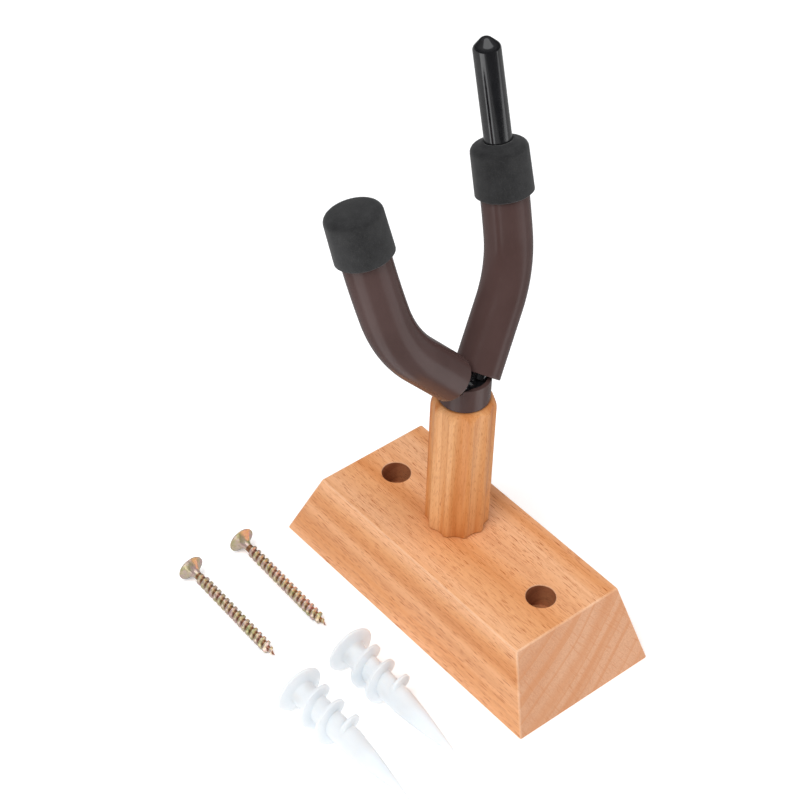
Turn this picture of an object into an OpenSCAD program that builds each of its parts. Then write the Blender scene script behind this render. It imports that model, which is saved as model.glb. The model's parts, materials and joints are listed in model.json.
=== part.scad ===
// Wall guitar hanger: beech base and post, swivelling steel yoke, loose wall fixings.
// Millimetres. The origin is the centre of the base's back face, on the wall plane.
// +Z points out of the wall, along the post. +Y is up when the hanger is on a wall.

/* [Base block] */
// Length of the back face, along Y
base_length = 129; // [110:1:160]
// Width of the back face, along X
base_width = 60; // [52:1:80]
// Length of the front face
front_length = 105; // [98:1:110]
// Width of the front face
front_width = 47; // [40:1:52]
// Thickness, from the wall to the front face
base_height = 30; // [28:1:40]

/* [Wall screw holes] */
// Distance between the two holes
hole_spacing = 77.6; // [70:0.2:86]
// Diameter of the clearance hole
hole_d = 5; // [4:0.5:6]
// Diameter of the counterbore for the screw's head
counterbore_d = 10.6; // [9:0.2:12]
// Depth of the counterbore from the front face
counterbore_depth = 10; // [6:1:14]

/* [Post] */
// Sideways place of the post on the base
post_x = 2.4; // [0:0.2:4]
// Place of the post along the base
post_y = 8.2; // [0:0.2:10]
// Diameter over the ridges between the flutes
post_d = 22.6; // [20:0.2:26]
// Height above the base's front face
post_height = 58; // [50:1:60]
// Number of flutes
flute_count = 10; // [8:1:12]
// Depth of each flute below the ridges
flute_depth = 1; // [0.4:0.2:1.4]
// Diameter of the cutter that makes a flute
flute_cutter_d = 12; // [8:1:16]
// Direction of the first ridge
first_ridge = 28; // [0:1:36]
// Diameter of the flat top
post_top_d = 18.6; // [18.4:0.2:20]
// Height over which the shoulder rounds off
shoulder_height = 4.8; // [3:0.2:6]
// Diameter of the tenon that enters the base
tenon_d = 16; // [14:1:18]
// Length of the tenon
tenon_length = 12; // [8:1:14]

/* [Stud, washers and nut] */
// Diameter of the stud
stud_d = 8; // [7.8:0.1:8]
// Radial running clearance of the stud in the wood
stud_gap = 0.08; // [0.04:0.02:0.1]
// Diameter of the recess behind the base
recess_d = 20; // [19:1:22]
// Depth of the recess
recess_depth = 13; // [12:0.5:14]
// Outer diameter of the washer in the recess
back_washer_d = 16; // [15:1:18]
// Thickness of that washer
back_washer_t = 1.6; // [1.4:0.1:1.8]
// Lock nut, across its flats
nut_flats = 13; // [12:1:13]
// Height of the lock nut, with its ring collar
nut_height = 8; // [7:0.5:8]
// Thickness of the slip washer on top of the post
slip_washer_t = 1; // [0.8:0.1:1]

/* [Yoke] */
// Turn of the yoke about the post, at rest
yoke_turn = 7; // [0:1:30]
// Lean of the yoke's plane from the post's axis
yoke_tilt = 17; // [10:1:20]
// Place of the V's apex across the post's axis
apex_y = -2.9; // [-3.2:0.1:-2.6]
// Height of the V's apex above the wall
apex_z = 92.6; // [92:0.1:93]
// Diameter of the rod
rod_d = 9.5; // [9:0.1:9.6]
// Angle between a leg and the V's centre line
leg_angle = 41; // [38:1:43]
// Length of a leg, from the apex to its bend
leg_length = 30.5; // [28:0.5:34]
// Radius of the main bend, on the rod's centre line
bend_radius = 42.5; // [36:0.5:48]
// Angle after the main bend
bend_end_angle = 8.5; // [7:0.5:12]
// Radius of the slight upper bend
upper_radius = 300; // [200:10:400]
// Angle of the straight upper arm
tip_angle = 4.3; // [2:0.1:6]
// Distance from the apex at which each rod starts inside the knuckle
rod_root = 4; // [3.8:0.1:4.4]
// Distance from the apex to the end of the left rod, inside its cap
left_rod_end = 91.4; // [88:0.2:92]
// Distance from the apex to the tip of the right rod's peg
right_rod_end = 123.6; // [110:0.1:130]
// Length of the peg's rounded nose
nose_length = 4.4; // [4.4:0.1:6]
// Outer diameter of the knuckle that joins the rods to the stud
knuckle_d = 15; // [14.8:0.1:15]
// Height of the knuckle's top above the wall
knuckle_top = 97; // [96:0.2:97.4]

/* [Collar, sleeves and caps] */
// Outer diameter of the collar
collar_d = 18.1; // [17.8:0.1:18.4]
// Inner diameter of the collar
collar_bore = 15.2; // [15.1:0.1:15.6]
// Height of the collar's top above the wall
collar_top = 97.8; // [97:0.2:98.4]
// Outer diameter of a sleeve
sleeve_d = 16.6; // [15:0.1:17]
// Inner diameter of a sleeve
sleeve_bore = 9.7; // [9.6:0.1:10]
// Distance from the apex to the left sleeve's lower end
left_sleeve_from = 11.8; // [10:0.2:14]
// Distance from the apex to the right sleeve's lower end
right_sleeve_from = 5.8; // [5.8:0.2:8]
// Outer diameter of a cap at its open end
cap_d = 20.2; // [19.4:0.2:21]
// Loss of cap diameter towards its closed end
cap_taper = 0.5; // [0:0.1:0.8]
// Bore of a cap, which a sleeve fills
cap_bore = 16.9; // [16.8:0.1:17.2]
// Thickness of a cap's end wall
cap_wall = 2.8; // [2:0.1:3]
// Rounding at a cap's closed end
cap_round = 2.6; // [1:0.2:3]
// Distance from the apex to the left cap's open end
left_cap_from = 77.3; // [77:0.1:79]
// Length of the left cap
left_cap_length = 17.3; // [16:0.1:20]
// Distance from the apex to the right cap's open end
right_cap_from = 68.9; // [66:0.1:72]
// Length of the right cap up to its shoulder
right_cap_length = 18.2; // [14:0.1:20]
// Height that the peg has pulled up the middle of the right cap
right_cap_lift = 0.8; // [0:0.1:4]

/* [Wall screws] */
// Length of a wall screw
screw_length = 50; // [40:1:60]
// Diameter of its head
screw_head_d = 10; // [9:0.2:10.4]
// Diameter over its thread
screw_thread_d = 4.4; // [4:0.1:4.8]
// Diameter of its core
screw_core_d = 2.9; // [2.6:0.1:3.2]
// Pitch of its thread
screw_pitch = 2.4; // [2:0.1:3]
// Length of its curved head
screw_head_length = 5; // [4:0.2:6]

/* [Wall anchors] */
// Length of a wall anchor
anchor_length = 58; // [50:1:60]
// Diameter of its flange
anchor_flange_d = 18.4; // [16:0.2:20]
// Diameter over its fins
anchor_fin_d = 15.6; // [13:0.2:16]
// Diameter of its core
anchor_core_d = 8.8; // [8:0.2:10]
// Distance between fins
anchor_fin_pitch = 8.1; // [7:0.1:9]
// Diameter of the pilot hole for the screw
anchor_pilot_d = 3.6; // [3:0.2:4]

/* [Hidden] */
$fn = 96;

beech = "#D8A271";
beech_dark = "#CC8F52";
steel_black = "#1C1C1E";
rubber_black = "#303032";
pvc_brown = "#54413E";
zinc = "#C9CACC";
zinc_yellow = "#D6B98A";
nylon = "#EDF1F4";

cut = 0.5;                       // how far a cutter runs past a face
face_gap = 0.1;                  // gap between flat faces that slide on each other

post_top = base_height + post_height;
stud_bottom = 2;
stud_bore_d = stud_d + 2 * stud_gap;
slip_washer_z = post_top + face_gap;
knuckle_bottom = slip_washer_z + slip_washer_t + face_gap;
stud_top = knuckle_bottom + 4.2;
back_washer_z = recess_depth - back_washer_t - face_gap;
nut_top = back_washer_z - face_gap;
nut_bottom = nut_top - nut_height;
nut_ring_bore = stud_d + 0.04;
nut_ring_d = 10.6;
nut_ring_t = 1.8;
nut_collar_h = 2.4;
nut_collar_d = 12;
collar_bottom = post_top + 0.3;
washer_bore_d = stud_d + 0.4;
stud_pitch = 1.25;
stud_thread_depth = 0.55;
stud_thread_length = 12.5;

// The yoke's centre line in its own plane: leg, bend, slight bend, straight upper arm.
function heading(a) = [sin(a), cos(a)];
function inward(a) = [-cos(a), sin(a)];
function arc_length(radius, angle) = radius * angle * PI / 180;
bend_start = leg_length * heading(leg_angle);
bend_centre = bend_start + bend_radius * inward(leg_angle);
upper_start = bend_centre - bend_radius * inward(bend_end_angle);
upper_centre = upper_start + upper_radius * inward(bend_end_angle);
straight_start = upper_centre - upper_radius * inward(tip_angle);
bend_travel = arc_length(bend_radius, leg_angle - bend_end_angle);
upper_travel = arc_length(upper_radius, bend_end_angle - tip_angle);
straight_from = leg_length + bend_travel + upper_travel;
joint_gap = 0.05;                // each stretch of an arm stops this far short of the next
band_width = 0.4;
band_step = 0.02;

right_cap_top = right_cap_from + right_cap_length + right_cap_lift;
peg_from = right_cap_top + face_gap;
lip_groove_width = 0.8;          // the pierced cap's lip sits in this groove
lip_groove_depth = 0.3;

screw_lean = 3.6;                // it lies on the rim of its head and on its last thread
screw_rest_y = 66.3;
screw_1_x = -72.9;
screw_2_x = -50.2;
anchor_lean = 3.4;               // it lies on its flange and on its last fin
anchor_1_place = [-79.5, -5.4];
anchor_2_place = [-54.6, -2.2];
anchor_1_turn = 1;
anchor_2_turn = 0;

// ---------------------------------------------------------------- helpers

module tube(outer_d, inner_d, height) {
    difference() {
        cylinder(d = outer_d, h = height);
        translate([0, 0, -cut]) cylinder(d = inner_d, h = height + 2 * cut);
    }
}

module at_post() {
    translate([post_x, post_y, 0]) children();
}

module at_yoke() {
    at_post() rotate([0, 0, yoke_turn]) children();
}

// The plane that both arms lie in, with its own Z up the V's centre line
module in_yoke_plane(side) {
    at_yoke() translate([0, apex_y, apex_z]) rotate([-yoke_tilt, 0, 0])
        mirror([side < 0 ? 1 : 0, 0, 0]) children();
}

// A point of the leg, a distance from the apex, with Z along the leg
module on_leg(distance) {
    rotate([0, leg_angle, 0]) translate([0, 0, distance]) children();
}

// A point of the straight upper arm, a distance along the rod from the apex
module on_upper_arm(distance) {
    translate([straight_start[0], 0, straight_start[1]]) rotate([0, tip_angle, 0])
        translate([0, 0, distance - straight_from]) children();
}

module bend(centre, radius, from_angle, to_angle, d) {
    held_back = joint_gap / radius * 180 / PI;
    translate([centre[0], 0, centre[1]]) rotate([90, 0, 0])
        rotate([0, 0, held_back - from_angle])
            rotate_extrude(angle = from_angle - to_angle - 2 * held_back)
                translate([radius, 0]) circle(d = d);
}

// Stretches stop short of each other, and a band a hair wider than the bar joins them
module band(point, angle, d) {
    translate([point[0], 0, point[1]]) rotate([0, angle, 0])
        cylinder(d = d + band_step, h = band_width, center = true);
}

// A round bar along the arm's centre line, from one distance to another
module along_arm(d, from, to) {
    on_leg(from) cylinder(d = d, h = leg_length - joint_gap - from);
    band(bend_start, leg_angle, d);
    bend(bend_centre, bend_radius, leg_angle, bend_end_angle, d);
    band(upper_start, bend_end_angle, d);
    bend(upper_centre, upper_radius, bend_end_angle, tip_angle, d);
    band(straight_start, tip_angle, d);
    on_upper_arm(straight_from + joint_gap)
        cylinder(d = d, h = to - straight_from - joint_gap);
}

// Quarter round of an outline, from the side wall to the end wall, at the outline's top
function rounded_end(radius, top, round_r) =
    [for (a = [0:15:90]) [radius - round_r + round_r * cos(a), top - round_r + round_r * sin(a)]];

// ---------------------------------------------------------------- base and post

module trapezium(low, high, height) {
    polygon([[-low / 2, 0], [low / 2, 0], [high / 2, height], [-high / 2, height]]);
}

module base_blank() {
    intersection() {
        rotate([90, 0, 0])
            linear_extrude(base_length + 2 * cut, center = true)
                trapezium(base_width, front_width, base_height);
        rotate([90, 0, 90])
            linear_extrude(base_width + 2 * cut, center = true)
                trapezium(base_length, front_length, base_height);
    }
}

module wall_screw_hole() {
    translate([0, 0, -cut]) cylinder(d = hole_d, h = base_height + 2 * cut);
    translate([0, 0, base_height - counterbore_depth])
        cylinder(d = counterbore_d, h = counterbore_depth + cut);
}

module base_block() {
    color(beech) difference() {
        base_blank();
        for (side = [-1, 1]) translate([0, side * hole_spacing / 2, 0]) wall_screw_hole();
        at_post() {
            translate([0, 0, base_height - tenon_length])
                cylinder(d = tenon_d, h = tenon_length + cut);
            translate([0, 0, -cut]) cylinder(d = recess_d, h = recess_depth + cut);
            cylinder(d = stud_bore_d, h = base_height);
        }
    }
}

// The shoulder is one arc that leaves the side wall upright and meets the flat top
shoulder_in = (post_d - post_top_d) / 2;
shoulder_radius = (pow(shoulder_height, 2) + pow(shoulder_in, 2)) / (2 * shoulder_in);
shoulder_sweep = asin(shoulder_height / shoulder_radius);
shoulder_steps = 6;

function shoulder_outline() = [for (i = [0:shoulder_steps])
    let (a = shoulder_sweep * i / shoulder_steps)
    [post_d / 2 - shoulder_radius * (1 - cos(a)),
     post_top - shoulder_height + shoulder_radius * sin(a)]];

module post() {
    flute_axis = (post_d + flute_cutter_d) / 2 - flute_depth;
    color(beech_dark) at_post() difference() {
        union() {
            intersection() {
                rotate_extrude()
                    polygon(concat([[0, base_height], [post_d / 2, base_height]],
                        shoulder_outline(), [[0, post_top]]));
                translate([0, 0, base_height]) linear_extrude(post_height) difference() {
                    circle(d = post_d + 1);
                    for (i = [0:flute_count - 1])
                        rotate(first_ridge + (i + 0.5) * 360 / flute_count)
                            translate([flute_axis, 0]) circle(d = flute_cutter_d);
                }
            }
            translate([0, 0, base_height - tenon_length])
                cylinder(d = tenon_d, h = tenon_length);
        }
        cylinder(d = stud_bore_d, h = post_top + cut);
    }
}

module back_washer() {
    color(zinc) at_post() translate([0, 0, back_washer_z])
        tube(back_washer_d, washer_bore_d, back_washer_t);
}

// ---------------------------------------------------------------- yoke

function stud_thread_outline() = [for (i = [0:floor(stud_thread_length / stud_pitch) - 1])
    let (z = stud_bottom + 0.6 + i * stud_pitch)
    each [[stud_d / 2 - stud_thread_depth, z], [stud_d / 2, z + stud_pitch / 2 - 0.1],
          [stud_d / 2, z + stud_pitch / 2 + 0.1]]];
stud_shank_from = stud_bottom + 0.6 + stud_thread_length;

module yoke_stud() {
    color(zinc) at_post() rotate_extrude()
        polygon(concat([[0, stud_bottom], [stud_d / 2 - stud_thread_depth, stud_bottom]],
            stud_thread_outline(),
            [[stud_d / 2 - stud_thread_depth, stud_shank_from], [stud_d / 2, stud_shank_from + 0.6],
             [stud_d / 2, stud_top], [0, stud_top]]));
}

module yoke_knuckle() {
    edge = 0.8;
    color(steel_black) difference() {
        at_post() rotate_extrude()
            polygon(concat([[0, knuckle_bottom], [knuckle_d / 2, knuckle_bottom]],
                rounded_end(knuckle_d / 2, knuckle_top, edge), [[0, knuckle_top]]));
        at_post() cylinder(d = stud_d, h = stud_top);
        for (side = [-1, 1])
            in_yoke_plane(side) on_leg(rod_root) cylinder(d = rod_d, h = leg_length);
    }
}

module slip_washer() {
    color(nylon) at_post() translate([0, 0, slip_washer_z])
        tube(knuckle_d - 0.4, washer_bore_d, slip_washer_t);
}

module lock_nut() {
    corner_d = nut_flats / cos(30);
    color(zinc) at_post() difference() {
        intersection() {
            union() {
                translate([0, 0, nut_bottom]) cylinder(d = nut_collar_d, h = nut_height);
                translate([0, 0, nut_bottom + nut_collar_h])
                    cylinder(d = corner_d, h = nut_height - nut_collar_h, $fn = 6);
            }
            rotate_extrude() polygon([[0, nut_bottom], [nut_collar_d / 2 - 0.5, nut_bottom],
                [nut_collar_d / 2, nut_bottom + 0.6], [nut_collar_d / 2, nut_bottom + nut_collar_h],
                [nut_flats / 2, nut_bottom + nut_collar_h],
                [corner_d / 2 + 0.1, nut_bottom + nut_collar_h + 0.7],
                [corner_d / 2 + 0.1, nut_top - 0.7], [nut_flats / 2, nut_top], [0, nut_top]]);
        }
        cylinder(d = nut_ring_bore, h = recess_depth);
        translate([0, 0, nut_bottom + 0.4]) cylinder(d = nut_ring_d, h = nut_ring_t + 0.05);
    }
}

module lock_nut_ring() {
    color("white") at_post() translate([0, 0, nut_bottom + 0.4])
        tube(nut_ring_d - 0.05, nut_ring_bore, nut_ring_t);
}

module peg_nose() {
    r = rod_d / 2;
    tip_r = 3;
    shoulder_r = 2.6;
    rotate_extrude() polygon(concat([[0, 0]],
        [for (a = [0:5:45]) [r - shoulder_r + shoulder_r * cos(a), shoulder_r * sin(a)]],
        [for (a = [45:5:85]) [tip_r * cos(a), nose_length - tip_r + tip_r * sin(a)]],
        [[0, nose_length]]));
}

// Half of the yoke's space, so that the two rods meet in a mitre
module other_half(side) {
    size = 60;
    at_yoke() translate([side > 0 ? -size : 0, -size / 2, apex_z - size / 2]) cube(size);
}

module left_arm_rod() {
    color(steel_black) difference() {
        in_yoke_plane(-1) along_arm(rod_d, rod_root, left_rod_end);
        other_half(-1);
    }
}

module right_arm_rod() {
    color(steel_black) difference() {
        in_yoke_plane(1) {
            along_arm(rod_d, rod_root, right_rod_end - nose_length);
            on_upper_arm(right_rod_end - nose_length) peg_nose();
        }
        in_yoke_plane(1) on_upper_arm(peg_from - lip_groove_width)
            tube(rod_d + 2, rod_d - 2 * lip_groove_depth, lip_groove_width);
        other_half(1);
    }
}

// ---------------------------------------------------------------- collar, sleeves, caps

module collar() {
    rod_room = 0.3;
    color(pvc_brown) difference() {
        at_post() translate([0, 0, collar_bottom])
            tube(collar_d, collar_bore, collar_top - collar_bottom);
        for (side = [-1, 1])
            in_yoke_plane(side) on_leg(0) cylinder(d = rod_d + rod_room, h = leg_length);
    }
}

module sleeve(side, from, to) {
    color(pvc_brown) difference() {
        in_yoke_plane(side) difference() {
            along_arm(sleeve_d, from, to);
            along_arm(sleeve_bore, from - cut, to + cut);
        }
        at_post() cylinder(d = collar_d + 0.2, h = collar_top + face_gap);
    }
}

module left_sleeve() { sleeve(-1, left_sleeve_from, left_rod_end); }
module right_sleeve() { sleeve(1, right_sleeve_from, right_cap_from + right_cap_length - cap_wall); }

// A cap's outline from its open end up; Z is zero at the open end
function cap_outline(length, crown) = concat(
    [[0, 0], [cap_d / 2 - 0.8, 0], [cap_d / 2, 0.7]],
    rounded_end((cap_d - cap_taper) / 2, length, cap_round), crown);

module cap_cavity(length) {
    translate([0, 0, -cut]) cylinder(d = cap_bore, h = length - cap_wall + cut);
}

module left_cap() {
    crown_rise = 0.5;
    color(rubber_black) in_yoke_plane(-1) on_upper_arm(left_cap_from) difference() {
        rotate_extrude() polygon(cap_outline(left_cap_length, [[4, left_cap_length + 0.35],
            [0, left_cap_length + crown_rise]]));
        cap_cavity(left_cap_length);
    }
}

module right_cap() {
    peg_hole_d = rod_d + 0.1;
    lip_d = rod_d + 1.4;
    top = right_cap_top - right_cap_from;
    color(rubber_black) in_yoke_plane(1) on_upper_arm(right_cap_from) difference() {
        rotate_extrude() polygon(cap_outline(right_cap_length,
            [[lip_d / 2 + 0.4, top - 0.2], [lip_d / 2 - 0.1, top], [0, top]]));
        cap_cavity(right_cap_length);
        cylinder(d = peg_hole_d, h = top + cut);
    }
}

// ---------------------------------------------------------------- loose wall fixings

// Lays a fixing on the wall plane. Its own Z runs from the tip to the head, whose face is at 0.
module laid_down(place, head_r, lean, turn) {
    translate([place[0], place[1], head_r * cos(lean) + 0.02]) rotate([0, 0, turn])
        rotate([lean - 90, 0, 0]) children();
}

module cross_recess(span, blade, depth) {
    for (a = [0, 90]) rotate(a) translate([-span / 2, -blade / 2, -depth])
        cube([span, blade, depth + cut]);
}

// The thread is a row of equal ridges, which shrink over the screw's pointed end
screw_thread_from = screw_head_length + 0.6;
screw_point_length = 6;
screw_ridges = floor((screw_length - 1.4 - screw_thread_from) / screw_pitch);
function screw_share(z) = min(1, (screw_length - z) / screw_point_length);
function screw_thread_outline() = [for (i = [0:screw_ridges - 1], part = [0, 1, 2])
    let (z = screw_thread_from + (i + part * 0.3) * screw_pitch,
         d = part == 1 ? screw_thread_d : screw_core_d)
    [screw_share(z) * d / 2, -z]];

// The curved underside of the head leaves the core along the axis
function screw_head_outline() = [for (i = [0:6])
    let (t = i / 6)
    [screw_core_d / 2 + (screw_head_d - screw_core_d) / 2 * pow(1 - t, 2.2),
     -0.4 - (screw_head_length - 0.4) * t]];

module wall_screw(x) {
    color(zinc_yellow) laid_down([x, screw_rest_y], screw_head_d / 2, screw_lean, 0) difference() {
        rotate_extrude() polygon(concat([[0, 0], [screw_head_d / 2, 0]],
            screw_head_outline(), screw_thread_outline(), [[0, -screw_length]]));
        cross_recess(5, 1.1, 2.4);
    }
}

module wall_screw_1() { wall_screw(screw_1_x); }
module wall_screw_2() { wall_screw(screw_2_x); }

anchor_fins = 3;
anchor_first_fin = 6.4;
anchor_shank_end = anchor_first_fin + (anchor_fins - 1) * anchor_fin_pitch + 3.2;
function anchor_fin_outline() = [for (i = [0:anchor_fins - 1])
    let (z = anchor_first_fin + i * anchor_fin_pitch)
    each [[anchor_core_d / 2, -z + 1.5], [anchor_fin_d / 2 - 0.4, -z + 0.5],
          [anchor_fin_d / 2, -z], [anchor_fin_d / 2 - 0.4, -z - 0.5],
          [anchor_core_d / 2, -z - 1.5]]];

// The tail tapers along a shallow curve to a blunt point
function anchor_tail_outline() = [for (i = [0:6])
    let (t = i / 6)
    [0.5 + (anchor_core_d / 2 - 0.5) * (1 - t) * (1 + 0.35 * t),
     -anchor_shank_end - (anchor_length - anchor_shank_end - 0.4) * t]];

module wall_anchor(place, turn) {
    flange_t = 1.4;
    color(nylon) laid_down(place, anchor_flange_d / 2, anchor_lean, turn) difference() {
        rotate_extrude() polygon(concat([[0, 0], [anchor_flange_d / 2 - 0.5, 0],
            [anchor_flange_d / 2, -0.5], [anchor_flange_d / 2 - 0.3, -flange_t],
            [anchor_core_d / 2, -flange_t - 1]], anchor_fin_outline(), anchor_tail_outline(),
            [[0, -anchor_length]]));
        translate([0, 0, -anchor_length * 0.6]) cylinder(d = anchor_pilot_d, h = anchor_length);
        cross_recess(7, 1.3, 5);
    }
}

module wall_anchor_1() { wall_anchor(anchor_1_place, anchor_1_turn); }
module wall_anchor_2() { wall_anchor(anchor_2_place, anchor_2_turn); }

base_block();
post();
back_washer();
yoke_stud();
yoke_knuckle();
slip_washer();
lock_nut();
lock_nut_ring();
collar();
left_arm_rod();
right_arm_rod();
left_sleeve();
right_sleeve();
left_cap();
right_cap();
wall_screw_1();
wall_screw_2();
wall_anchor_1();
wall_anchor_2();
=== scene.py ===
"""Looks of a wall guitar hanger: beech base and post, sleeved steel yoke, loose wall fixings.

The frame is in metres. Shapes built here are written in millimetres, and MM scales them as they
become meshes. Shader scales are per metre.
"""

import json
import math

import bmesh
import bpy
from mathutils import Matrix, Vector, noise


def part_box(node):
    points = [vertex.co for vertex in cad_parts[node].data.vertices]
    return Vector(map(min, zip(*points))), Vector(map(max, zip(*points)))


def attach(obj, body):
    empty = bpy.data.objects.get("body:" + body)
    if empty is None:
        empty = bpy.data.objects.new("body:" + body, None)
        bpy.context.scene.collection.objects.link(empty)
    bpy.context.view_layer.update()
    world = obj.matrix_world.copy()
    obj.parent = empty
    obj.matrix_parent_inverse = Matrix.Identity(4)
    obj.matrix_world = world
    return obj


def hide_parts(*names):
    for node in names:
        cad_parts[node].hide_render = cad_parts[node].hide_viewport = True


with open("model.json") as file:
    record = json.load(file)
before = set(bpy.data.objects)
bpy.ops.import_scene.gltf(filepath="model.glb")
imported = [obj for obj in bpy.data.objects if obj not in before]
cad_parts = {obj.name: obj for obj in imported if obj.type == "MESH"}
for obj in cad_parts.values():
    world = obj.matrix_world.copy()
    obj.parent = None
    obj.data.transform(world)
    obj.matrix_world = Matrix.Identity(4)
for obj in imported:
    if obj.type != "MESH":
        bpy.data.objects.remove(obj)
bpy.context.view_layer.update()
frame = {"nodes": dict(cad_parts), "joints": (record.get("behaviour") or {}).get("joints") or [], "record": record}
nodes = frame["nodes"]
mounts = {mount["name"]: mount for mount in frame["record"]["mounts"]}
joints = {joint["name"]: joint for joint in frame["joints"]}
MM = 0.001


def mm(metres):
    """Millimetres, to the nearest tenth."""
    return round(metres / MM, 1)


# ------------------------------------------------------------------ driving sizes

POST_AXIS = tuple(mm(value) for value in joints["yoke_swivel"]["pos_m"][:2])
HOLE_Y = mm(mounts["upper_counterbore"]["pos_m"][1])
BASE_FOOT_X, BASE_FOOT_Y, BASE_TOP = (mm(value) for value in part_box("base_block")[1])
BASE_TAPER_X, BASE_TAPER_Y = 6.5, 12.0
TENON_FOOT = mm(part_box("post")[0].z)
TENON_R = 8.0
POST_TOP = mm(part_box("post")[1].z)
STUD_BORE_R = 4.08


# ------------------------------------------------------------------ shader helpers


class Nodes:
    """A node tree, with a short way to add to it."""

    def __init__(self, tree):
        self.tree = tree

    def feed(self, socket, value):
        if isinstance(value, bpy.types.NodeSocket):
            self.tree.links.new(value, socket)
        else:
            socket.default_value = value

    def add(self, kind, inputs=(), out=0, **settings):
        node = self.tree.nodes.new("ShaderNode" + kind)
        for key, value in settings.items():
            setattr(node, key, value)
        for key, value in dict(inputs).items():
            self.feed(node.inputs[key], value)
        return node.outputs[out]

    def math(self, operation, a, b=0.0):
        return self.add("Math", {0: a, 1: b}, operation=operation)

    def times(self, a, b):
        return self.math("MULTIPLY", a, b)

    def noise(self, vector, scale=1.0, detail=2.0, roughness=0.5):
        return self.add(
            "TexNoise",
            {"Vector": vector, "Scale": scale, "Detail": detail, "Roughness": roughness},
        )

    def stretch(self, vector, scales):
        return self.add("VectorMath", {0: vector, 1: scales}, operation="MULTIPLY")

    def dot(self, vector, direction):
        inputs = {0: vector, 1: direction}
        return self.add("VectorMath", inputs, out=1, operation="DOT_PRODUCT")

    def split(self, vector):
        return self.add("SeparateXYZ", {0: vector}).node.outputs

    def ramp(self, factor, stops):
        """A colour ramp. A stop's colour is three numbers, or one for a grey."""
        node = self.tree.nodes.new("ShaderNodeValToRGB")
        elements = node.color_ramp.elements
        while len(elements) < len(stops):
            elements.new(0.5)
        for element, (position, colour) in zip(elements, stops):
            element.position = position
            element.color = (*colour, 1) if isinstance(colour, tuple) else (colour,) * 3 + (1,)
        self.feed(node.inputs[0], factor)
        return node.outputs[0]

    def mask(self, factor, low, high):
        """0 where the factor is at low, 1 where it is at high."""
        return self.add("MapRange", {"Value": factor, "From Min": low, "From Max": high})

    def span(self, factor, low, high):
        """Spreads a factor of 0 to 1 over low to high."""
        return self.add("MapRange", {"Value": factor, "To Min": low, "To Max": high})

    def mix(self, factor, a, b, blend="MIX"):
        node = self.tree.nodes.new("ShaderNodeMix")
        node.data_type = "RGBA"
        node.blend_type = blend
        for key, value in (("Factor_Float", factor), ("A_Color", a), ("B_Color", b)):
            socket = next(s for s in node.inputs if s.identifier == key)
            self.feed(socket, value if not isinstance(value, tuple) else (*value, 1))
        return next(s for s in node.outputs if s.identifier == "Result_Color")


class Shader(Nodes):
    """A material under construction: a Principled BSDF with its constants set."""

    def __init__(self, name, **constants):
        self.material = bpy.data.materials.new(name)
        self.material.use_nodes = True
        super().__init__(self.material.node_tree)
        self.bsdf = self.tree.nodes["Principled BSDF"]
        for socket, value in constants.items():
            self.bsdf.inputs[socket.replace("_", " ")].default_value = value
        self.coords = self.tree.nodes.new("ShaderNodeTexCoord")
        self.at = self.coords.outputs["Object"]

    def bump(self, height, distance, strength):
        inputs = {"Height": height, "Distance": distance, "Strength": strength}
        self.feed(self.bsdf.inputs["Normal"], self.add("Bump", inputs))

    def finish(self, colour, roughness=None):
        self.feed(self.bsdf.inputs["Base Color"], colour)
        if roughness is not None:
            self.feed(self.bsdf.inputs["Roughness"], roughness)
        return self.material


# ------------------------------------------------------------------ materials

WHITE = (1.0, 1.0, 1.0)
# Noise scales of beech: across the rings, round them, and along the grain
FIBRES = (1700.0, 1300.0, 14.0)
PORES = (5600.0, 5600.0, 420.0)
END_SPECKLE = (1500.0, 3800.0, 900.0)
END_RAYS = (170.0, 3000.0, 60.0)
SWAY = (34.0, 34.0, 7.0)
SWAY_DEPTH = 0.003


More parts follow.
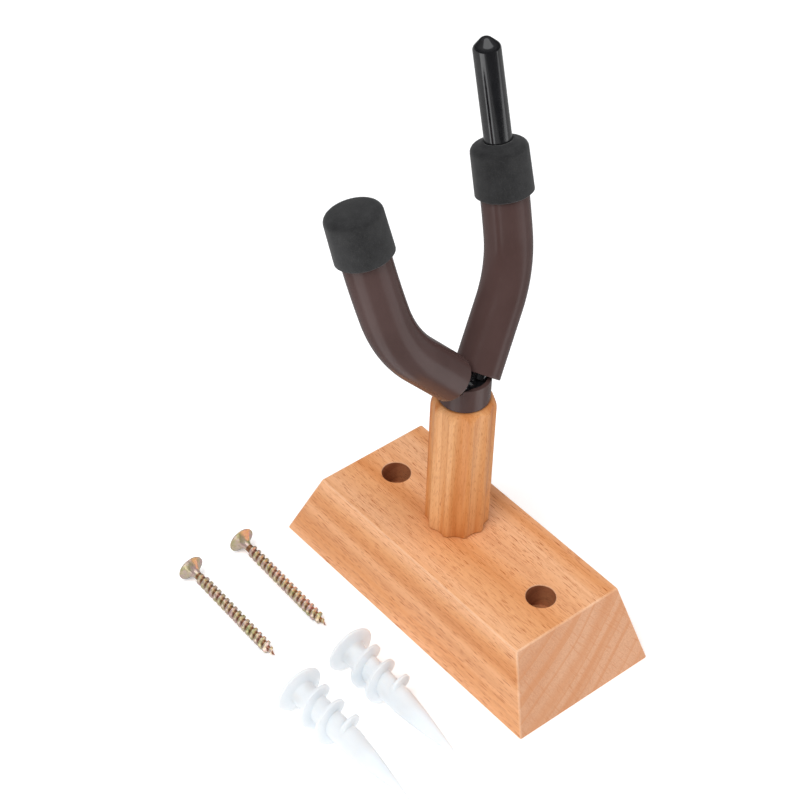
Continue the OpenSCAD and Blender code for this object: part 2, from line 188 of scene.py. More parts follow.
def beech(name, grain, tones, end_tone, ray_tone, ray_strength, foot=None, faces=(), **constants):
    """Beech about its own pith: arcs of growth rings, rays across them, fibres along the grain.

    tones run from pale to deep. foot is a height with a thin darker band just above it. faces are
    the outward directions of the flat faces, and the edges between them get a painted highlight.
    """
    pale, middle, deep = tones
    s = Shader(name, **constants)
    facing = s.coords.outputs["Normal"]
    local = s.add("Mapping", {"Vector": s.at, "Rotation": grain["turn"], "Location": grain["pith"]})
    x, y, along = s.split(local)
    cross_section = s.stretch(local, (1.0, 1.0, 0.0))
    radius = s.add("VectorMath", {0: cross_section}, out=1, operation="LENGTH")
    radius = s.math("ADD", radius, s.times(s.noise(s.stretch(local, SWAY)), SWAY_DEPTH))
    arc = s.times(s.math("ARCTAN2", y, x), grain["arc_radius"])
    polar = s.add("CombineXYZ", {0: radius, 1: arc, 2: along})

    # Broad bands of tone, dark late wood at the end of each year, and one warmer group of rings
    bands = s.noise(s.stretch(polar, grain["bands"]), 1.0, 3.0, 0.55)
    colour = s.ramp(bands, [(0.34, deep), (0.46, middle), (0.6, pale)])
    across = s.add("CombineXYZ", {0: radius})
    uneven = s.times(s.noise(across, 150.0, 1.0), 2.2)
    year = s.math("FRACT", s.math("ADD", s.math("DIVIDE", radius, grain["ring_width"]), uneven))
    late = s.times(s.mask(year, 0.66, 0.95), s.mask(year, 1.0, 0.96))
    late = s.times(late, s.span(s.noise(across, 420.0, 0.0), 0.0, 1.6))
    shaded = s.mix(0.5, deep, ray_tone)
    colour = s.mix(s.times(late, grain["late"]), colour, shaded)
    centre, half_width = grain["warm_rings"]
    off_centre = s.math("ABSOLUTE", s.math("SUBTRACT", radius, centre))
    warm = s.times(s.mask(off_centre, half_width, half_width * 0.4), s.span(bands, 1.0, 0.3))
    colour = s.mix(warm, colour, (0.86, 0.7, 0.48), "MULTIPLY")

    # Cut along the grain: fibres, ray flecks and pores
    fibres = s.noise(s.stretch(polar, FIBRES), 1.0, 3.0, 0.6)
    fibre_tone = s.ramp(fibres, [(0.32, (0.72, 0.6, 0.5)), (0.6, WHITE)])
    colour = s.mix(0.3, colour, fibre_tone, "MULTIPLY")
    rays = s.mask(s.noise(s.stretch(polar, grain["flecks"]), 1.0, 1.0, 0.4), 0.635, 0.67)
    pores = s.mask(s.noise(s.stretch(local, PORES), 1.0, 0.0), 0.66, 0.78)
    flecks = s.math("MAXIMUM", s.times(rays, ray_strength), s.times(pores, 0.4))
    long_colour = s.mix(flecks, colour, ray_tone)

    # Cut across the grain: speckle, ring lines and rays
    speckle = s.noise(s.stretch(polar, END_SPECKLE), 1.0, 3.0, 0.7)
    speckle_tone = s.ramp(speckle, [(0.35, (0.76, 0.64, 0.57)), (0.6, WHITE)])
    end_rays = s.mask(s.noise(s.stretch(polar, END_RAYS), 1.0, 1.0), 0.6, 0.68)
    end_colour = s.mix(0.6, s.mix(0.62, colour, end_tone), speckle_tone, "MULTIPLY")
    end_colour = s.mix(s.times(late, 0.5), end_colour, deep)
    end_colour = s.mix(s.times(late, 0.22), end_colour, ray_tone)
    end_colour = s.mix(s.times(end_rays, 0.5), end_colour, shaded)
    end_grain = s.mask(s.math("ABSOLUTE", s.dot(facing, grain["along"])), 0.55, 0.85)
    colour = s.mix(end_grain, long_colour, end_colour)

    # Painted highlight: the rounded edges between the flat faces are made paler, as where light catches them.
    if faces:
        mirrored = s.add("VectorMath", {0: facing}, operation="ABSOLUTE")
        flat = 0.0
        for face in faces:
            flat = s.math("MAXIMUM", flat, s.dot(mirrored, face))
        painted_edge_highlight = s.times(s.mask(flat, 0.995, 0.975), s.span(bands, 0.0, 0.4))
        colour = s.mix(painted_edge_highlight, colour, (1.0, 0.75, 0.55))
    # A thin darker band just above the foot height.
    if foot is not None:
        height = s.split(s.at)[2]
        colour = s.mix(s.mask(height, foot + 0.7 * MM, foot + 0.2 * MM), colour, ray_tone)

    s.bump(s.math("SUBTRACT", s.times(fibres, 0.5), s.times(flecks, 0.15)), 0.0001, 0.45)
    rough = s.math("ADD", s.span(fibres, 0.4, 0.54), s.times(end_grain, 0.12))
    return s.finish(colour, rough)


def enamel(name, smoothest, roughest, **constants):
    """Stoved black enamel on the steel, with a faint orange peel."""
    s = Shader(name, **constants)
    wear = s.noise(s.at, 140.0, 5.0, 0.7)
    s.bump(s.noise(s.at, 900.0), 0.00002, 0.25)
    colour = s.ramp(wear, [(0.35, (0.006, 0.006, 0.007)), (0.75, (0.014, 0.014, 0.016))])
    return s.finish(colour, s.span(wear, smoothest, roughest))


def brown_tube():
    """Soft PVC tube: an even brown with a skin-deep sheen and a little dust."""
    s = Shader("brown_pvc", IOR=1.5, Specular_IOR_Level=0.32)
    cloud = s.noise(s.at, 60.0, 3.0)
    dust = s.mask(s.noise(s.at, 420.0, 6.0, 0.75), 0.62, 0.8)
    colour = s.ramp(cloud, [(0.3, (0.069, 0.038, 0.034)), (0.7, (0.083, 0.047, 0.043))])
    colour = s.mix(s.times(dust, 0.12), colour, (0.2, 0.14, 0.13))
    s.bump(s.noise(s.at, 1600.0, 3.0, 0.6), 0.00003, 0.35)
    return s.finish(colour, s.span(cloud, 0.2, 0.27))


def cap_rubber():
    """Moulded rubber: matt, finely grained, a little paler where it is rubbed."""
    s = Shader("black_rubber", IOR=1.45, Sheen_Weight=0.12, Sheen_Roughness=0.5)
    grain = s.noise(s.at, 2600.0, 3.0, 0.7)
    cloud = s.noise(s.at, 170.0, 5.0, 0.68)
    colour = s.ramp(cloud, [(0.32, (0.011, 0.011, 0.0115)), (0.68, (0.026, 0.026, 0.0265))])
    colour = s.mix(s.times(s.mask(grain, 0.5, 0.72), 0.45), colour, (0.06, 0.06, 0.061))
    s.bump(grain, 0.00006, 0.5)
    return s.finish(colour, s.span(cloud, 0.55, 0.7))


def zinc_plate():
    """Bright zinc on the hidden hardware."""
    s = Shader("zinc_plate", Metallic=1.0)
    cloud = s.noise(s.at, 260.0, 4.0, 0.6)
    colour = s.ramp(cloud, [(0.3, (0.5, 0.52, 0.54)), (0.7, (0.72, 0.73, 0.74))])
    s.bump(s.noise(s.at, 2200.0), 0.00002, 0.3)
    return s.finish(colour, s.span(cloud, 0.25, 0.42))


def yellow_zinc(name, shade):
    """Chromated zinc: gold that drifts to rose and to green, brown stains, and painted shade in its hollows."""
    s = Shader(name, Metallic=0.72, Coat_Weight=0.4, Coat_Roughness=0.08)
    green, gold, pale_rose, rose = (
        (0.76, 0.74, 0.4),
        (0.96, 0.81, 0.5),
        (1.0, 0.82, 0.66),
        (1.0, 0.7, 0.66),
    )
    drift = s.noise(s.at, 330.0, 3.0, 0.6)
    colour = s.ramp(drift, [(0.34, green), (0.43, gold), (0.52, pale_rose), (0.62, rose)])
    stain = s.noise(s.at, 1100.0, 4.0, 0.7)
    colour = s.mix(s.times(s.mask(stain, 0.52, 0.75), 0.4), colour, (0.24, 0.13, 0.07))
    # Painted shade: dark brown wherever the surface is hemmed in, at the thread's roots and in the recess.
    openness = s.add("AmbientOcclusion", {"Distance": 1.3 * MM}, out=1, samples=8)
    colour = s.mix(s.mask(openness, 0.84, 0.5), colour, (0.06, 0.022, 0.01))
    # The shade tone darkens the whole finish: the darker copy is painted shade between the thread's ridges.
    colour = s.mix(1.0, colour, shade, "MULTIPLY")
    s.bump(s.noise(s.at, 3000.0), 0.00002, 0.3)
    return s.finish(colour, s.span(stain, 0.14, 0.3))


def nylon():
    """Unpigmented nylon: milky, with light that carries through its thin fins."""
    s = Shader(
        "white_nylon",
        IOR=1.53,
        Subsurface_Weight=0.85,
        Subsurface_Radius=(0.9, 1.0, 1.1),
        Subsurface_Scale=0.005,
        Specular_IOR_Level=0.3,
    )
    cloud = s.noise(s.at, 130.0, 3.0)
    colour = s.ramp(cloud, [(0.3, (0.755, 0.8, 0.84)), (0.7, (0.795, 0.83, 0.86))])
    s.bump(s.noise(s.at, 1500.0), 0.00003, 0.3)
    return s.finish(colour, s.span(cloud, 0.28, 0.4))


# The turn lays the grain along Z, and pith is its place in that frame, in metres like the rings.
# Bands and flecks are noise scales: across the rings, round them, and along the grain.
BASE_GRAIN = {
    "turn": (math.pi / 2, 0, 0),
    "pith": (0.08, 0.142, 0),
    "arc_radius": 0.15,
    "along": (0.0, 1.0, 0.0),
    "ring_width": 0.0062,
    "late": 0.3,
    "warm_rings": (0.1335, 0.0048),
    "bands": (120.0, 22.0, 2.5),
    "flecks": (2600.0, 5200.0, 230.0),
}
POST_GRAIN = {
    "turn": (0, 0, 0),
    "pith": (0.031, 0.017, 0),
    "arc_radius": 0.035,
    "along": (0.0, 0.0, 1.0),
    "ring_width": 0.007,
    "late": 0.3,
    "warm_rings": (0.042, 0.0055),
    "bands": (230.0, 130.0, 10.0),
    "flecks": (2600.0, 5200.0, 400.0),
}
BASE_FACES = [
    Vector((0, 0, 1)),
    Vector((BASE_TOP, 0, BASE_TAPER_X)).normalized(),
    Vector((0, BASE_TOP, BASE_TAPER_Y)).normalized(),
]
base_beech = beech(
    "beech_base",
    BASE_GRAIN,
    tones=((0.87, 0.47, 0.25), (0.83, 0.415, 0.2), (0.765, 0.34, 0.135)),
    end_tone=(0.66, 0.375, 0.24),
    ray_tone=(0.43, 0.115, 0.025),
    ray_strength=0.95,
    faces=BASE_FACES,
    Coat_Weight=0.05,
    Coat_Roughness=0.35,
    Specular_IOR_Level=0.32,
)
# A much darker copy of the base's beech for the walls of the holes and the socket: painted shade in the recesses.
shaded_bore_beech = beech(
    "beech_bored_painted_shade",
    BASE_GRAIN,
    tones=((0.5, 0.2, 0.09), (0.4, 0.14, 0.06), (0.3, 0.09, 0.035)),
    end_tone=(0.36, 0.13, 0.06),
    ray_tone=(0.14, 0.04, 0.015),
    ray_strength=0.6,
)
post_beech = beech(
    "beech_post",
    POST_GRAIN,
    tones=((0.79, 0.405, 0.175), (0.71, 0.3, 0.1), (0.56, 0.18, 0.042)),
    end_tone=(0.5, 0.22, 0.08),
    ray_tone=(0.44, 0.13, 0.022),
    ray_strength=0.65,
    foot=BASE_TOP * MM,
    Specular_IOR_Level=0.35,
    Coat_Weight=0.2,
    Coat_Roughness=0.16,
)
gloss_enamel = enamel("black_enamel", 0.07, 0.17, IOR=1.85, Coat_Weight=0.6, Coat_Roughness=0.04)
dull_enamel = enamel("dull_enamel", 0.35, 0.5, IOR=1.4)
tube_brown = brown_tube()
rubber = cap_rubber()
zinc = zinc_plate()
zinc_yellow = yellow_zinc("yellow_zinc", WHITE)
# A darker copy of the screw finish: painted shade on the core between the thread's turns.
zinc_painted_shade = yellow_zinc("yellow_zinc_painted_shade", (0.5, 0.28, 0.2))
nylon_white = nylon()


# ------------------------------------------------------------------ mesh helpers


def mesh_object(name, vertices, faces, place=None):
    """A mesh object from points in millimetres, after an optional placing matrix."""
    place = place or Matrix.Identity(4)
    data = bpy.data.meshes.new(name)
    data.from_pydata([(place @ Vector(v)) * MM for v in vertices], [], faces)
    build = bmesh.new()
    build.from_mesh(data)
    bmesh.ops.recalc_face_normals(build, faces=build.faces)
    build.to_mesh(data)
    build.free()
    made = bpy.data.objects.new(name, data)
    bpy.context.scene.collection.objects.link(made)
    return made


def skin(rows, columns):
    """Four-sided faces between rings of equally many points, and from the last to the first."""
    faces = []
    for k in range(rows):
        low, high = k * columns, ((k + 1) % rows) * columns
        for i in range(columns):
            j = (i + 1) % columns
            faces.append((low + i, low + j, high + j, high + i))
    return faces


def lathe(outline, columns=64, centre=(0.0, 0.0)):
    """Turns an outline of (radius, height) pairs about Z. A zero radius makes a pole."""
    vertices, rings, faces = [], [], []
    for radius, height in outline:
        ring = []
        for i in range(1 if radius < 1e-6 else columns):
            a = 2 * math.pi * i / columns
            ring.append(len(vertices))
            x, y = radius * math.cos(a), radius * math.sin(a)
            vertices.append((x + centre[0], y + centre[1], height))
        rings.append(ring)
    for low, high in zip(rings, rings[1:]):
        for i in range(columns):
            j = (i + 1) % columns
            corners = [low[i % len(low)], low[j % len(low)], high[j % len(high)], high[i % len(high)]]
            corners = list(dict.fromkeys(corners))
            if len(corners) > 2:
                faces.append(corners)
    return vertices, faces


def carve(target, cutters, operation="DIFFERENCE"):
    """Cuts the cutters out of the target for good, or unites them with it, and removes them."""
    for cutter in cutters:
        step = target.modifiers.new("cut", "BOOLEAN")
        step.operation = operation
        step.solver = "EXACT"
        step.object = cutter
    graph = bpy.context.evaluated_depsgraph_get()
    carved = bpy.data.meshes.new_from_object(target.evaluated_get(graph))
    target.modifiers.clear()
    target.data = carved
    for cutter in cutters:
        bpy.data.objects.remove(cutter)


def lathe_cutter(outline, columns=72, centre=(0.0, 0.0)):
    return mesh_object("cutter", *lathe(outline, columns, centre))


def cylinder_cutter(radius, low, high, centre=(0.0, 0.0)):
    return lathe_cutter([(0, low), (radius, low), (radius, high), (0, high)], centre=centre)


def slot_cutter(half_length, half_width, depth, turn):
    """A blade through Z 0, turned by some degrees, for one arm of a cross recess."""
    xs, ys, zs = (-half_length, half_length), (-half_width, half_width), (-depth, 1)
    vertices = [(x, y, z) for z in zs for y in ys for x in xs]
    faces = [(0, 1, 3, 2), (4, 5, 7, 6), (0, 1, 5, 4), (2, 3, 7, 6), (0, 2, 6, 4), (1, 3, 7, 5)]
    return mesh_object("cutter", vertices, faces, Matrix.Rotation(math.radians(turn), 4, "Z"))


def helix_ridge(growth, section, start, lead, turns, radius_at, phase, columns):
    """One thread: a four-sided section swept down a helix, thinning out at both ends.

    It gains its full height in 1 / growth turns. section gives half the root's width and half
    the crest's width; radius_at(z) gives the root and crest radius at a height.
    """
    vertices, faces = [], []
    count = int(turns * columns)
    for i in range(count + 1):
        turn = i / columns
        a = phase - 2 * math.pi * turn
        z = start - lead * turn
        grow = max(0.0, min(1.0, turn * growth, (turns - turn) * growth))
        grow = grow * grow * (3 - 2 * grow)
        root, crest = radius_at(z)
        crest = root + (crest - root) * grow
        sunk = root * 0.9
        for radius, rise in (
            (sunk, section[0]),
            (crest, section[1]),
            (crest, -section[1]),
            (sunk, -section[0]),
        ):
            vertices.append((radius * math.cos(a), radius * math.sin(a), z + rise))
    for i in range(count):
        for k in range(4):
            m = (k + 1) % 4
            faces.append((4 * i + k, 4 * i + m, 4 * i + 4 + m, 4 * i + 4 + k))
    faces += [(0, 1, 2, 3), (4 * count + 3, 4 * count + 2, 4 * count + 1, 4 * count)]
    return vertices, faces


def smooth(piece, degrees):
    """Smooth shading, with the edges sharper than this many degrees kept crisp."""
    for polygon in piece.data.polygons:
        polygon.use_smooth = True
    piece.data.set_sharp_from_angle(angle=math.radians(degrees))
    weigh = piece.modifiers.new("weighted", "WEIGHTED_NORMAL")
    weigh.keep_sharp = True


def dress(piece, material, body, replaced):
    piece.data.materials.clear()
    piece.data.materials.append(material)
    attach(piece, body)
    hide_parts(replaced)


def join(name, parts):
    """Several meshes as one piece, each a closed shell of its own."""
    whole = bmesh.new()
    for part in parts:
        whole.from_mesh(part.data)
        bpy.data.objects.remove(part)
    data = bpy.data.meshes.new(name)
    whole.to_mesh(data)
    whole.free()
    made = bpy.data.objects.new(name, data)
    bpy.context.scene.collection.objects.link(made)
    return made


# ------------------------------------------------------------------ base block


def build_base():
    """A tapered block with rounded edges, two counterbored screw holes and the post's socket."""
    corners = [(-1, -1), (1, -1), (1, 1), (-1, 1)]
    top_x, top_y = BASE_FOOT_X - BASE_TAPER_X, BASE_FOOT_Y - BASE_TAPER_Y
    vertices = [(x * BASE_FOOT_X, y * BASE_FOOT_Y, 0) for x, y in corners]
    vertices += [(x * top_x, y * top_y, BASE_TOP) for x, y in corners]
    faces = [(0, 1, 2, 3), (4, 5, 6, 7)]
    faces += [(i, (i + 1) % 4, 4 + (i + 1) % 4, 4 + i) for i in range(4)]
    base = mesh_object("beech_base_block", vertices, faces)
    edge = 0.7 * MM
    build = bmesh.new()
    build.from_mesh(base.data)
    bmesh.ops.bevel(
        build, geom=build.edges[:], offset=edge, segments=4, profile=0.5, affect="EDGES"
    )
    build.to_mesh(base.data)
    build.free()

    clearance_r, counterbore_r, seat, lip = 2.5, 5.3, 20, 0.25
    below, above = -1, BASE_TOP + 1
    screw_hole = [(0, below), (clearance_r, below), (clearance_r, seat), (counterbore_r, seat)]
    screw_hole += [(counterbore_r, BASE_TOP - 0.3), (counterbore_r + lip, BASE_TOP)]
    screw_hole += [(counterbore_r + lip, above), (0, above)]
    recess_r, recess_top = 10, 13
    socket = [(0, below), (recess_r, below), (recess_r, recess_top), (STUD_BORE_R, recess_top)]
    socket += [(STUD_BORE_R, TENON_FOOT), (TENON_R, TENON_FOOT), (TENON_R, above), (0, above)]
    cutters = [lathe_cutter(screw_hole, centre=(0, side * HOLE_Y)) for side in (-1, 1)]
    cutters.append(lathe_cutter(socket, 96, POST_AXIS))
    carve(base, cutters)
    smooth(base, 35)
    dress(base, base_beech, "base", "base_block")

    # The walls inside the screw holes and the post's socket take the darker beech: painted shade.
    base.data.materials.append(shaded_bore_beech)
    for polygon in base.data.polygons:
        x, y, z = polygon.center / MM
        inside = 0.05
        in_screw_hole = math.hypot(x, abs(y) - HOLE_Y) < counterbore_r + inside
        in_screw_hole = in_screw_hole and inside < z < BASE_TOP - 0.4
        in_socket = math.hypot(x - POST_AXIS[0], y - POST_AXIS[1]) < recess_r + inside
        in_socket = in_socket and inside < z < BASE_TOP - 0.1
        polygon.material_index = int(in_screw_hole or in_socket)


# ------------------------------------------------------------------ post


def build_post():
    """A post with ten flutes, their ridges rounded over, under a domed shoulder."""
    columns = 300
    ridge, first_ridge, pitch = 11.3, 28, 36
    cutter_r, cutter_axis = 6.0, 16.3
    shoulder, shoulder_r = 4.8, 9.3
    shoulder_foot = POST_TOP - shoulder
    drop = ridge - shoulder_r
    dome = (shoulder**2 + drop**2) / (2 * drop)
    bore_bevel, foot_bevel = 0.3, 0.25

    def fluted(angle):
        away = math.radians((math.degrees(angle) - first_ridge) % pitch - pitch / 2)
        inside = cutter_r**2 - (cutter_axis * math.sin(away)) ** 2
        groove = cutter_axis * math.cos(away) - math.sqrt(inside) if inside > 0 else ridge + 1
        soft = 0.14
        blend = max(0.0, soft - abs(groove - ridge)) / soft
        return min(groove, ridge) - blend * blend * soft / 4

    def outer(angle, z):
        up = z - shoulder_foot
        cap = ridge if up <= 0 else ridge - dome + math.sqrt(max(dome**2 - up**2, 0))
        spot = Vector((math.cos(angle) * 3, math.sin(angle) * 3, z * 0.16))
        return min(fluted(angle), cap) + 0.035 * noise.noise(spot)

    def inset(amount):
        return lambda angle, z: outer(angle, z) - amount

    def plain(radius):
        return lambda angle, z: radius

    foot = BASE_TOP + foot_bevel
    rows = [(TENON_FOOT, plain(STUD_BORE_R)), (TENON_FOOT, plain(TENON_R))]
    rows += [(BASE_TOP, plain(TENON_R)), (BASE_TOP, inset(foot_bevel)), (foot, outer)]
    rows += [(foot + (shoulder_foot - foot) * i / 26, outer) for i in range(1, 27)]
    dome_steps = 10
    for i in range(1, dome_steps):
        rise = math.sin(math.radians(90 * i / dome_steps))
        rows.append((shoulder_foot + shoulder * rise, outer))
    rows += [(POST_TOP - 0.01, inset(0.12)), (POST_TOP, inset(0.4))]
    rows += [(POST_TOP, plain(4.4)), (POST_TOP - bore_bevel, plain(STUD_BORE_R))]
    vertices = []
    for z, radius in rows:
        for i in range(columns):
            a = 2 * math.pi * i / columns
            r = radius(a, z)
            vertices.append((POST_AXIS[0] + r * math.cos(a), POST_AXIS[1] + r * math.sin(a), z))
    post = mesh_object("beech_post", vertices, skin(len(rows), columns))
    smooth(post, 40)
    dress(post, post_beech, "base", "post")


# ------------------------------------------------------------------ loose fixings


def laid_down(x, y, head_r, lean, turn=0.0):
    """The fixing's own frame: its head's face at Z 0, its tip down its negative Z."""
    clearance = 0.02
    lift = head_r * math.cos(math.radians(lean)) + clearance
    return (
        Matrix.Translation((x, y, lift))
        @ Matrix.Rotation(math.radians(turn), 4, "Z")
        @ Matrix.Rotation(math.radians(lean - 90), 4, "X")
    )


def put(piece, place):
    """Moves a finished mesh by a placing matrix that is in millimetres."""
    piece.data.transform(Matrix.Scale(1 / MM, 4))
    piece.data.transform(place)
    piece.data.transform(Matrix.Scale(MM, 4))


def build_screw(number, start_turn):
    """A countersunk wood screw with a cross recess and a thread that runs out to its point."""
    length, head_r, head, core_r = 50.0, 5.0, 5.0, 1.45
    thread_r, lead, point, rim = 2.2, 2.4, 6.0, 0.5
    lean = 3.6
    outline = [(0, 0), (head_r - 0.5, 0), (head_r - 0.15, -0.06), (head_r, -0.25), (head_r, -rim)]
    neck_steps = 12
    for i in range(1, neck_steps + 1):
        share = i / neck_steps
        neck = core_r + (head_r - core_r) * (1 - share) ** 2.2
        outline.append((neck, -rim - (head - rim) * share))
    outline += [(core_r, -length + point + 1.2), (core_r * 0.86, -length + point - 0.8)]
    outline += [(core_r * 0.45, -length + 2.2), (0.16, -length + 0.35), (0, -length)]
    core = mesh_object("core", *lathe(outline, 48))
    carve(core, [slot_cutter(2.4, 0.5, 2.5, turn) for turn in (0, 90)])

    def radii(z):
        share = (z + length) / point
        root = core_r * max(0.04, min(1.0, share))
        return root, thread_r * max(0.1, min(1.0, share / 0.75))

    start = -head - 0.9
    turns = (length - head - 1.5) / lead
    section = (0.86, 0.3)
    thread = helix_ridge(2.5, section, start, lead, turns, radii, start_turn, 40)
    in_thread = [polygon.center.z / MM < start - 0.6 for polygon in core.data.polygons]
    screw = join(f"yellow_zinc_screw_{number}", [core, mesh_object("ridge", *thread)])
    low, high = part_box(f"wall_screw_{number}")
    overhang = head_r * math.sin(math.radians(lean)) * MM
    put(screw, laid_down(mm((low.x + high.x) / 2), mm(high.y - overhang), head_r, lean))
    smooth(screw, 38)
    dress(screw, zinc_yellow, f"screw_{number}", f"wall_screw_{number}")
    # The core's faces between the thread's turns take the darker copy: painted shade between the ridges.
    screw.data.materials.append(zinc_painted_shade)
    for polygon, valley in zip(screw.data.polygons, in_thread):
        polygon.material_index = int(valley)


def build_anchor(number):
    """A self-drilling nylon anchor: dished flange, one coarse flight and a long drill point."""
    length, flange_r, fin_r, core_r = 58.0, 9.2, 7.8, 4.4
    pilot_r, pilot_depth = 1.8, 34.8
    shank, point_top = 26.0, 30.5
    outline = [(0, 0), (flange_r - 0.9, 0), (flange_r - 0.25, -0.12), (flange_r, -0.45)]
    outline += [(flange_r - 0.1, -0.95), (flange_r - 0.5, -1.3), (core_r + 1.2, -1.75)]
    outline += [(core_r + 0.3, -2.3), (core_r, -3.2), (core_r, -shank)]
    outline += [(core_r + 0.15, -shank - 1.5), (core_r - 0.1, -point_top)]
    tip_r, point_steps = 0.35, 10
    for i in range(1, point_steps + 1):
        share = i / point_steps
        taper = (1 - share) * (1 + 0.3 * share)
        height = -point_top - (length - point_top - 0.5) * share
        outline.append((tip_r + (core_r - 0.45) * taper, height))
    outline.append((0, -length))
    anchor = mesh_object(f"nylon_wall_anchor_{number}", *lathe(outline, 56))

    lead, flights, section, start_turn = 7.9, 2.85, (1.6, 0.5), 2.87
    flight = helix_ridge(
        3, section, -3.3, lead, flights, lambda z: (core_r, fin_r), start_turn, 72
    )
    carve(anchor, [mesh_object("ridge", *flight)], "UNION")
    cutters = [cylinder_cutter(pilot_r, -pilot_depth, 1)]
    cutters += [slot_cutter(3.4, 0.62, 5, turn) for turn in (20, 110)]
    carve(anchor, cutters)

    pilot = mounts[f"anchor_{number}_pilot"]
    axis = Vector(pilot["axis"])
    head = Vector(pilot["pos_m"]) + axis * pilot_depth / 2 * MM
    lean = round(math.degrees(math.asin(axis.z)), 1)
    turn = round(math.degrees(math.atan2(-axis.x, axis.y)), 1)
    put(anchor, laid_down(mm(head.x), mm(head.y), flange_r, lean, turn))
    smooth(anchor, 40)
    dress(anchor, nylon_white, f"anchor_{number}", f"wall_anchor_{number}")


# ------------------------------------------------------------------ sleeves


def arm_point(distance):
    """Place and heading of the rod's centre line in the yoke's plane, this far from the apex."""
    leg_angle, leg, radius = 41.0, 30.5, 42.5
    bend_end, upper_radius, tip_angle = 8.5, 300.0, 4.3

    def heading(a):
        return Vector((math.sin(math.radians(a)), math.cos(math.radians(a))))

    def inward(a):
        return Vector((-math.cos(math.radians(a)), math.sin(math.radians(a))))

    bend_centre = leg * heading(leg_angle) + radius * inward(leg_angle)
    upper_start = bend_centre - radius * inward(bend_end)
    upper_centre = upper_start + upper_radius * inward(bend_end)
    bend_length = math.radians(leg_angle - bend_end) * radius
    upper_length = math.radians(bend_end - tip_angle) * upper_radius
    if distance < leg:
        return distance * heading(leg_angle), leg_angle
    if distance < leg + bend_length:
        angle = leg_angle - math.degrees((distance - leg) / radius)
        return bend_centre - radius * inward(angle), angle
    past_bend = distance - leg - bend_length
    if past_bend < upper_length:
        angle = bend_end - math.degrees(past_bend / upper_radius)
        return upper_centre - upper_radius * inward(angle), angle
    straight = upper_centre - upper_radius * inward(tip_angle)
    return straight + (past_bend - upper_length) * heading(tip_angle), tip_angle


def build_sleeve(name, side, start, end, node_name):
    """A tube on the arm, cut square, its rims a little rounded, its foot clear of the collar."""
    outer, inner, soft, columns, steps = 8.3, 4.85, 0.3, 96, 110
    swivel, tilt, apex = 7, -17, (0, -2.9, 92.6)
    stations = [start + soft + (end - start - 2 * soft) * i / steps for i in range(steps + 1)]
    rows = [(start, outer - soft), (start + 0.3 * soft, outer - 0.3 * soft)]
    rows += [(station, outer) for station in stations]
    rows += [(end - 0.3 * soft, outer - 0.3 * soft), (end, outer - soft), (end, inner)]
    rows += [(station, inner) for station in reversed(stations)] + [(start, inner)]
    vertices = []
    for distance, radius in rows:
        (across, up), angle = arm_point(distance)
        a = math.radians(angle)
        for i in range(columns):
            t = 2 * math.pi * i / columns
            off = radius * math.cos(t)
            x = across + off * math.cos(a)
            vertices.append((side * x, radius * math.sin(t), up - off * math.sin(a)))
    yoke = (
        Matrix.Translation((*POST_AXIS, 0))
        @ Matrix.Rotation(math.radians(swivel), 4, "Z")
        @ Matrix.Translation(apex)
        @ Matrix.Rotation(math.radians(tilt), 4, "X")
    )
    sleeve = mesh_object(name, vertices, skin(len(rows), columns), yoke)
    collar_r, collar_foot, collar_top = 9.15, 80, 97.9
    carve(sleeve, [cylinder_cutter(collar_r, collar_foot, collar_top, POST_AXIS)])
    smooth(sleeve, 40)
    dress(sleeve, tube_brown, "yoke", node_name)


build_base()
build_post()
build_sleeve("brown_tube_left", side=-1, start=11.8, end=91.4, node_name="left_sleeve")
build_sleeve("brown_tube_right", side=1, start=5.8, end=84.3, node_name="right_sleeve")
build_screw(1, start_turn=0.4)
build_screw(2, start_turn=2.1)
build_anchor(1)
build_anchor(2)


# ------------------------------------------------------------------ carried-over nodes


def finish_node(name, material, edge=0.0, weld_gap=0.002):
    """Gives a CAD node its finish, and softens its sharp edges without moving its mesh."""
    node = nodes[name]
    node.data.materials.clear()
    node.data.materials.append(material)
    for polygon in node.data.polygons:
        polygon.use_smooth = True
    weld = node.modifiers.new("weld", "WELD")
    weld.merge_threshold = weld_gap * MM
    if edge:
        bevel = node.modifiers.new("edge", "BEVEL")
        bevel.width = edge * MM
        bevel.segments = 2
        bevel.limit_method = "ANGLE"
        bevel.angle_limit = math.radians(40)
        bevel.harden_normals = False
    weigh = node.modifiers.new("weighted", "WEIGHTED_NORMAL")
    weigh.keep_sharp = True


finish_node("left_arm_rod", gloss_enamel, weld_gap=0.03)
finish_node("right_arm_rod", gloss_enamel, weld_gap=0.03)
finish_node("yoke_knuckle", dull_enamel)
finish_node("collar", tube_brown, edge=0.25)
finish_node("left_cap", rubber)
finish_node("right_cap", rubber)
finish_node("yoke_stud", zinc)
finish_node("back_washer", zinc, edge=0.15)
finish_node("lock_nut", zinc, edge=0.15)
finish_node("lock_nut_ring", nylon_white)
finish_node("slip_washer", nylon_white)


# ------------------------------------------------------------------ camera, floor and light


def make_camera():
    """A long lens, rolled a little, looking down on the hanger from beside its loose fixings."""
    azimuth, elevation, roll = (math.radians(a) for a in (-41.193, 42.371, 2.09))
    place = (-0.3917, -0.4093, 0.6083)
    level = math.cos(elevation)
    back = Vector((math.sin(azimuth) * level, -math.cos(azimuth) * level, math.sin(elevation)))
    right = Vector((math.cos(azimuth), math.sin(azimuth), 0))
    up = back.cross(right)
    turned_right = math.cos(roll) * right + math.sin(roll) * up
    turned_up = -math.sin(roll) * right + math.cos(roll) * up
    axes = Matrix((turned_right, turned_up, back)).transposed().to_4x4()
    data = bpy.data.cameras.new("camera")
    data.lens = 103.15
    data.sensor_width = 36
    camera = bpy.data.objects.new("camera", data)
    camera.matrix_world = Matrix.Translation(place) @ axes
    bpy.context.scene.collection.objects.link(camera)
    bpy.context.scene.camera = camera


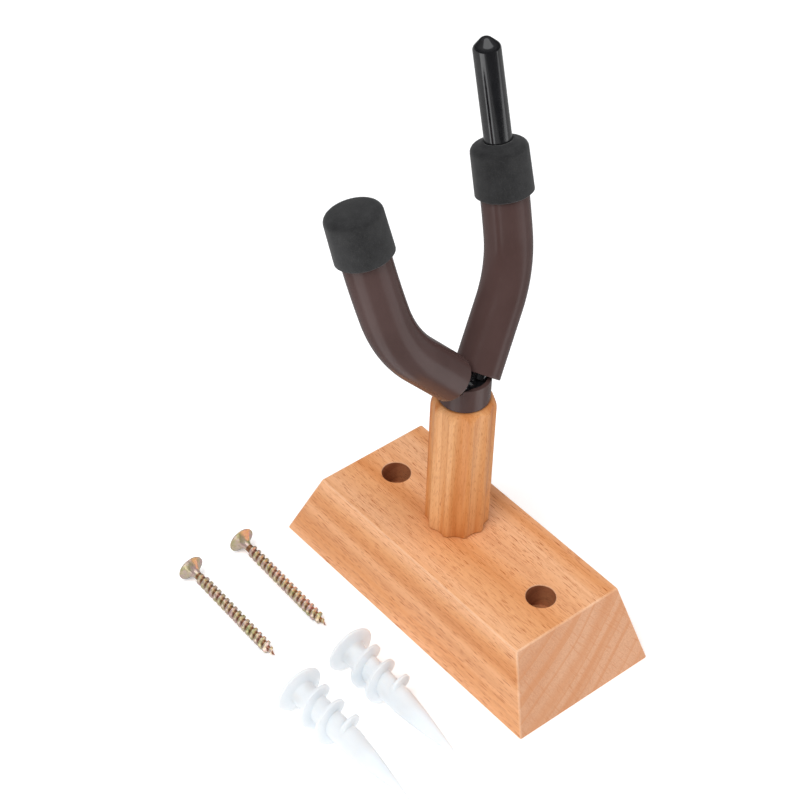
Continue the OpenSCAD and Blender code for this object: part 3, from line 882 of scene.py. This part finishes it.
def area_light(name, place, aim, size, power):
    """A soft box that lights the object and doesn't show in its reflections."""
    data = bpy.data.lights.new(name, "AREA")
    data.shape = "RECTANGLE"
    data.size, data.size_y = size
    data.energy = power
    light = bpy.data.objects.new(name, data)
    light.location = place
    light.rotation_euler = (Vector(place) - Vector(aim)).to_track_quat("Z", "Y").to_euler()
    light.visible_glossy = False
    bpy.context.scene.collection.objects.link(light)


def make_floor():
    """A white floor. Reflections see it dark, with three bright cards by bearing."""
    floor_r, floor_z = 1600, -0.05
    floor = mesh_object("floor", *lathe([(0, floor_z), (floor_r, floor_z)], 96))
    s = Shader("pale_floor", Roughness=0.9, Specular_IOR_Level=0.2, Emission_Strength=0.3)
    s.bsdf.inputs["Emission Color"].default_value = (*WHITE, 1)
    pale = s.ramp(s.noise(s.at, 3.0), [(0.3, 0.93), (0.7, 0.95)])
    x, y, _ = s.split(s.at)
    bearing = s.mask(s.math("ARCTAN2", y, x), -math.pi, math.pi)
    card, dark, dim = 0.9, 0.02, 0.03
    stops = [(0.0, card), (0.07, card), (0.085, dark), (0.262, dark), (0.277, card)]
    stops += [(0.375, card), (0.39, dim), (0.955, dim), (0.97, card)]
    in_gloss = s.add("LightPath", out="Is Glossy Ray")
    s.finish(s.mix(in_gloss, pale, s.ramp(bearing, stops)))
    floor.data.materials.append(s.material)


def make_world():
    """A white studio. Reflections see a soft box overhead and a dark room below it."""
    world = bpy.data.worlds.new("studio")
    bpy.context.scene.world = world
    world.use_nodes = True
    background = world.node_tree.nodes["Background"]
    background.inputs["Color"].default_value = (0.97, 0.98, 1.0, 1)
    sky = Nodes(world.node_tree)
    height = sky.split(sky.add("TexCoord", out="Generated"))[2]
    mirrored = sky.ramp(height, [(0.25, 0.04), (0.7, 0.14), (0.84, 0.16), (0.9, 1.0)])
    strength = sky.span(sky.add("LightPath", out="Is Glossy Ray"), 0.56, mirrored)
    to_camera = sky.add("LightPath", out="Is Camera Ray")
    sky.feed(background.inputs["Strength"], sky.math("MAXIMUM", strength, to_camera))


make_camera()
make_floor()
make_world()
area_light("key", place=(-0.55, -0.1, 0.95), aim=(0.0, 0.0, 0.06), size=(0.5, 0.5), power=6.6)
area_light("fill", place=(0.6, -0.55, 0.7), aim=(0.0, 0.0, 0.08), size=(0.5, 0.7), power=2.0)
bpy.context.scene.view_settings.view_transform = "Standard"
